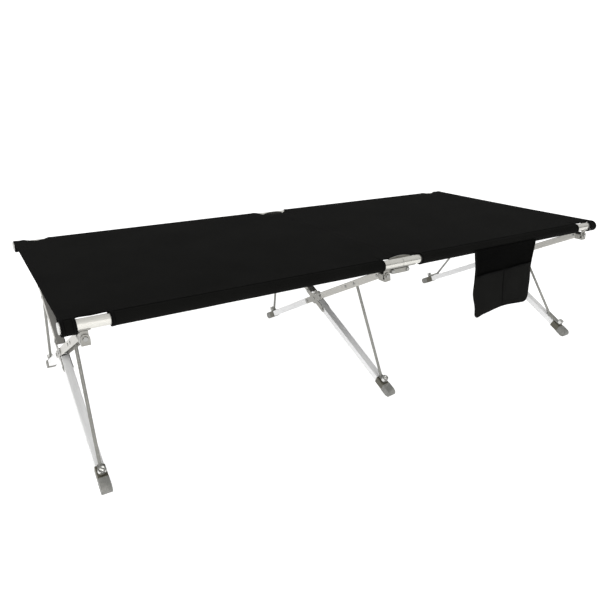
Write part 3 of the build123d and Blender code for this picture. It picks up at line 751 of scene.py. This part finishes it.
# the hanging pocket: a black back cloth, a net pouch with a divider, and a tape round its sides and bottom
backLow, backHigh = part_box("pocket_back")
pocket = {
    "left": ((0.0, -0.018), (0.32, -0.009), (0.62, -0.007), (1.0, 0.015)),
    "right": ((0.0, -0.014), (0.45, -0.027), (0.8, -0.017), (1.0, -0.015)),
    "across": 42, "down": 40, "corner": 0.024, "cornerSteps": 9, "mouth": 0.36,
    "bottomGap": 0.004, "archLeft": -0.008, "archLeftRun": 0.16, "archMid": 0.011, "rise": 0.008,
    "thickness": 0.0007, "standOff": 0.0012, "belly": 0.0034, "bellyFrom": 0.2, "bellyTo": 1.02,
    "sideShare": 0.6, "middleShare": 0.4, "fold": 0.0019, "creaseAlong": 14.0, "creaseDown": 9.0, "creaseShare": 0.8,
    "mouthLift": 0.010, "mouthSlope": 0.022, "mouthArch": 0.02, "mouthDips": 0.008,
    "folds": ((19.0, -26.0, 0.0, 0.6), (41.0, 33.0, 1.3, 0.4)),  # along x, along z, shift and share of each wave
    "pouchOff": 0.0004, "puff": 0.0042, "seamOff": 0.0010, "pouchThin": 0.6,
    "tapeWidth": 0.0065, "tapeProud": 0.0007, "tapeCloth": 0.0022, "tapeSteps": 36, "tapeIn": 0.06,
    "tapeClosest": 0.0012,
    "stripSteps": 24, "dividerHalf": 0.003, "dividerEnd": 0.985, "hemInset": 0.012, "hemAbove": 0.004,
    "hemBelow": 0.028, "stripLifts": (0.0001, 0.0010), "meshScale": 1900.0, "meshHoles": (0.50, 0.62, 1.0, 0.0),
}
pocketWidth, pocketDrop = backHigh.x - backLow.x, backHigh.z - backLow.z


def pocketColumns():
    # shares across, close together in the round corners
    corner, count = pocket["corner"] / pocketWidth, pocket["cornerSteps"]
    left = [corner * (1 - math.cos(math.pi / 2 * k / count)) for k in range(count)]
    middle = [corner + (1 - 2 * corner) * k / pocket["across"] for k in range(pocket["across"] + 1)]
    return left + middle + [1 - s for s in reversed(left)]


def pocketPlace(s, t):
    # where a share across (0 to 1) and down (0 to 1) of the flat cloth hangs
    corner = pocket["corner"]
    left = backLow.x + ramp(pocket["left"], t)
    right = backHigh.x + ramp(pocket["right"], t)
    low = backLow.z + pocket["bottomGap"] + pocket["archLeft"] * (1 - smooth(s / pocket["archLeftRun"]))
    low += pocket["rise"] * smooth(s)
    low += pocket["archMid"] * math.sin(math.pi * smooth(s))
    side = min(s, 1 - s) * pocketWidth
    if side < corner:  # round bottom corners
        low += corner - math.sqrt(max(0.0, corner ** 2 - (corner - side) ** 2))
    x = left + (right - left) * s
    z = backHigh.z + (low - backHigh.z) * t
    swell = math.sin(math.pi * min(1.0, t * pocket["bellyTo"])) * smooth(t / pocket["bellyFrom"])
    swell *= pocket["sideShare"] + pocket["middleShare"] * math.sin(math.pi * s)
    fold = sum(math.sin(x * alongX + z * alongZ + shift) * share for alongX, alongZ, shift, share in pocket["folds"])
    sample = Vector((x * pocket["creaseAlong"], z * pocket["creaseDown"], 1.0))
    creases = noise.noise(sample) * pocket["creaseShare"]
    out = swell * (pocket["belly"] + pocket["fold"] * (fold + creases))
    return Vector((x, backLow.y - pocket["standOff"] - out, z))


def gridPiece(name, rows, flatRows, material):
    points = [p for row in rows for p in row]
    flatAt = [p for row in flatRows for p in row]
    wide = len(rows[0])
    faces = [(k * wide + n, k * wide + n + 1, (k + 1) * wide + n + 1, (k + 1) * wide + n)
             for k in range(len(rows) - 1) for n in range(wide - 1)]
    return meshPiece(name, points, faces, flatAt, materials=[material])


def pocketRows(top, forward):
    rows, flatRows = [], []
    for k in range(pocket["down"] + 1):
        row, flat = [], []
        for s in pocketColumns():
            t = top(s) + (1 - top(s)) * k / pocket["down"]
            row.append(pocketPlace(s, t) + Vector((0, -forward(s, t), 0)))
            flat.append((s * pocketWidth, t * pocketDrop))
        rows.append(row)
        flatRows.append(flat)
    return rows, flatRows


def pouchForward(s, t):
    # the pouch stands off the back cloth between its seams, less at its divider
    into = (t - pocket["mouth"]) / (1 - pocket["mouth"])
    half = abs(math.sin(2 * math.pi * s)) ** 0.6
    gape = math.cos(0.5 * math.pi * min(1.0, max(0.0, into))) ** 0.7
    clear = pocket["thickness"] + pocket["pouchOff"]
    return clear + pocket["puff"] * half * gape * 0.8 + pocket["seamOff"] * half


def mouthAt(s):
    # the mouth's edge dips a little between its ends
    dip = pocket["mouthArch"] * math.sin(math.pi * s) ** 2 - pocket["mouthDips"] * math.sin(2 * math.pi * s) ** 2
    return pocket["mouth"] - pocket["mouthLift"] + pocket["mouthSlope"] * (1 - s) + dip


def makeNet(look):
    # net cloth: a woven ground with fine holes through it
    material, tree, shader = cloth("pocketNet", look)
    at = put(tree, "ShaderNodeAttribute", attribute_name="clothAt").outputs["Vector"]
    scaled = vectorSum(tree, "SCALE", at, scale=pocket["meshScale"])
    slanted = put(tree, "ShaderNodeVectorRotate", {"Vector": scaled, "Angle": math.radians(45)},
                  rotation_type="Z_AXIS")
    turned = put(tree, "ShaderNodeSeparateXYZ", {0: slanted.outputs[0]})
    holes = sums(tree, "MULTIPLY", sums(tree, "COSINE", turned.outputs[0]), sums(tree, "COSINE", turned.outputs[1]))
    tree.links.new(spread(tree, holes, *pocket["meshHoles"]), shader.inputs["Alpha"])
    return material


def pocketEdge():
    # the chain for the tape: down the left side, along the bottom, and up the right side
    steps, pull, stand = pocket["tapeSteps"], pocket["tapeIn"], Vector((0, -pocket["standOff"], 0))
    edge = [(0.0, k / steps) for k in range(steps)]
    edge += [(s, 1.0) for s in pocketColumns()]
    edge += [(1.0, k / steps) for k in range(steps - 1, -1, -1)]
    outward, chain = Vector((0, -1, 0)), []
    for s, t in edge:
        at = pocketPlace(s, t) + stand
        within = pocketPlace(s + (0.5 - s) * pull, t + (0.5 - t) * pull) + stand
        if not chain or (at - chain[-1][0]).length > pocket["tapeClosest"]:  # leaves out points that nearly meet
            chain.append((at, within, outward))
    for k in range(1, len(chain) - 1):
        along = (chain[k + 1][0] - chain[k - 1][0]).normalized()
        inward = along.cross(outward)
        if inward.dot(chain[k][1] - chain[k][0]) < 0:
            inward = -inward
        chain[k] = (chain[k][0], chain[k][0] + inward * 0.01, outward)
    return chain


def stripPair(kind, share):
    # the two sides of the divider's seam tape or of the mouth's hem, at a share of its length
    if kind == "divider":
        half, t = pocket["dividerHalf"] / pocketWidth, mouthAt(0.5) + (pocket["dividerEnd"] - mouthAt(0.5)) * share
        return (0.5 - half, t), (0.5 + half, t)
    s = pocket["hemInset"] + (1 - 2 * pocket["hemInset"]) * share
    return (s, mouthAt(s) - pocket["hemAbove"]), (s, mouthAt(s) + pocket["hemBelow"])


def makePocket():
    fill = cloth("pocketCloth", finishes["pocketCloth"])[0]
    net = makeNet(finishes["pocketMesh"])
    rows, flatRows = pocketRows(lambda s: 0.0, lambda s, t: 0.0)
    back = thicken(gridPiece("pocketBack", rows, flatRows, fill), pocket["thickness"])
    rows, flatRows = pocketRows(mouthAt, pouchForward)
    pouch = thicken(gridPiece("pocketPouch", rows, flatRows, net), pocket["thickness"] * pocket["pouchThin"])
    points, flatAt, faces = [], [], []
    look = {"width": pocket["tapeWidth"], "cloth": pocket["tapeCloth"], "tape": pocket["tapeProud"]}
    tape(points, flatAt, faces, pocketEdge(), look)
    steps = pocket["stripSteps"]
    for kind in ("divider", "mouth"):
        base, last = len(points), len(points) + 4 * steps
        for k in range(steps + 1):
            for s, t in stripPair(kind, k / steps):
                for lift in pocket["stripLifts"]:
                    points.append(pocketPlace(s, t) + Vector((0, -pouchForward(s, max(t, mouthAt(s))) - lift, 0)))
                    flatAt.append((s * pocketWidth, t * pocketDrop))
        for a in range(base, last, 4):
            b = a + 4
            faces += [(a + 1, a + 3, b + 3, b + 1), (a, b, b + 2, a + 2),
                      (a, a + 1, b + 1, b), (a + 2, b + 2, b + 3, a + 3)]
        faces += [(base, base + 2, base + 3, base + 1), (last, last + 1, last + 3, last + 2)]
    trim = meshPiece("pocketTape", points, faces, flatAt, materials=[tapeMaterial])
    fixNormals(trim)
    for piece, slot, old in ((back, "pocket_cloth", "pocket_back"), (pouch, "pocket_mesh", "pocket_front"),
                             (trim, "pocket_tape", "pocket_binding")):
        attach(piece, "pocket")
        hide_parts(old)


makePocket()
print("pocket done")

# floor, lights, camera
def makeStudio():
    size = studio["floorSize"]
    corners = [(-size, -size, 0), (size, -size, 0), (size, size, 0), (-size, size, 0)]
    floor = meshPiece("floor", corners, [(0, 1, 2, 3)])
    floor.location.z = -studio["floorDrop"]
    material, tree, shader = newMaterial("floorPaper")
    fibres = spread(tree, noiseAt(tree, here(tree), studio["fibreScale"], 3.0), 0.3, 0.7, 0.0, studio["fibreShare"])
    tree.links.new(mixColours(tree, fibres, studio["floorTint"], studio["fibreTint"]), shader.inputs["Base Color"])
    shader.inputs["Roughness"].default_value = 0.95
    shader.inputs["Specular IOR Level"].default_value = 0.0
    shader.inputs["Emission Color"].default_value = (1, 1, 1, 1)
    shader.inputs["Emission Strength"].default_value = studio["floorGlow"]
    floor.data.materials.append(material)
    world = bpy.data.worlds.new("studioSky")
    bpy.context.scene.world = world
    world.use_nodes = True
    sky = world.node_tree
    sky.nodes.clear()
    up = put(sky, "ShaderNodeSeparateXYZ", {0: put(sky, "ShaderNodeTexCoord").outputs["Generated"]}).outputs[2]
    colours = put(sky, "ShaderNodeValToRGB", {0: spread(sky, up, -1.0, 1.0)})
    stops = colours.color_ramp.elements
    while len(stops) < len(studio["skyStops"]):
        stops.new(0.5)
    for stop, (at, level) in zip(stops, studio["skyStops"]):
        stop.position = at
        stop.color = (level, level, level * 0.99, 1)
    lit = put(sky, "ShaderNodeBackground", {"Color": colours.outputs[0], "Strength": 1.0})
    white = put(sky, "ShaderNodeBackground", {"Color": (1, 1, 1, 1), "Strength": studio["backdrop"]})
    seen = put(sky, "ShaderNodeLightPath").outputs["Is Camera Ray"]
    mixed = put(sky, "ShaderNodeMixShader", {0: seen, 1: lit.outputs[0], 2: white.outputs[0]})
    put(sky, "ShaderNodeOutputWorld", {"Surface": mixed.outputs[0]})
    for name in ("key", "fill", "kick"):
        lamp = bpy.data.lights.new(name + "Light", "AREA")
        lamp.size, lamp.energy = studio[name + "Size"], studio[name + "Power"]
        light = bpy.data.objects.new(name + "Light", lamp)
        bpy.context.scene.collection.objects.link(light)
        light.location = studio[name + "At"]
        light.rotation_mode = "QUATERNION"
        light.rotation_quaternion = (Vector(studio["lampsFace"]) - light.location).to_track_quat("-Z", "Y")
    lens = bpy.data.cameras.new("camera")
    lens.lens, lens.sensor_width = studio["lens"], studio["sensor"]
    lens.clip_start, lens.clip_end = studio["nearest"], studio["farthest"]
    view = bpy.data.objects.new("camera", lens)
    bpy.context.scene.collection.objects.link(view)
    view.location = studio["cameraAt"]
    view.rotation_mode = "QUATERNION"
    view.rotation_quaternion = Vector(studio["looking"]).to_track_quat("-Z", "Y")
    bpy.context.scene.camera = view
    bpy.context.scene.view_settings.view_transform = "Standard"


makeStudio()
print("studio done")
